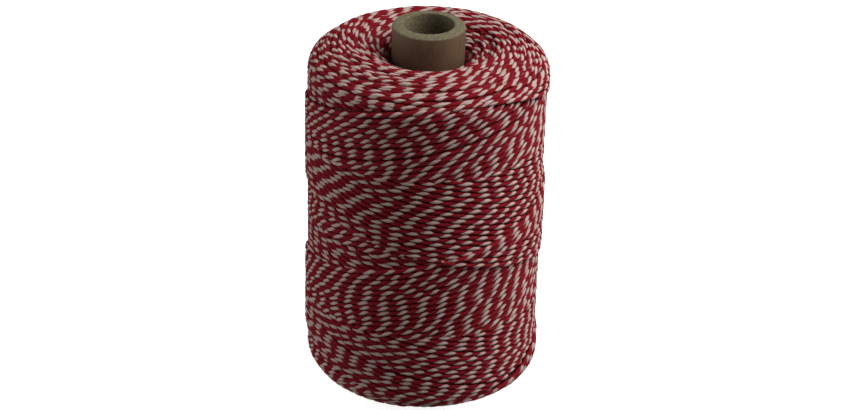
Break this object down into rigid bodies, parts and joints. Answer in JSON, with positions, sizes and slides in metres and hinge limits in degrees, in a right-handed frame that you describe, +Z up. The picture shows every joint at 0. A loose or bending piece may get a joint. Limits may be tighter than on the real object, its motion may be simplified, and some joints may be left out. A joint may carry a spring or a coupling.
{
  "type": "spool of bakers twine",
  "caption": "Upright cardboard tube cross-wound with two-colour twisted twine, for dispensing string from a spindle or by hand.",
  "frame": {"origin": "on the surface the spool stands on, below the middle of the tube", "axes": "+Z up along the tube, -Y towards the side the newest strands cross on"},
  "size_m": [0.091, 0.09, 0.1512],
  "materials": {
    "cardboard": "matte greyish brown board",
    "twine": "matte twisted cotton, one red ply and one white ply"
  },
  "bodies": {
    "root": {"core_tube": "cardboard", "wound_twine": "twine"}
  },
  "joints": []
}
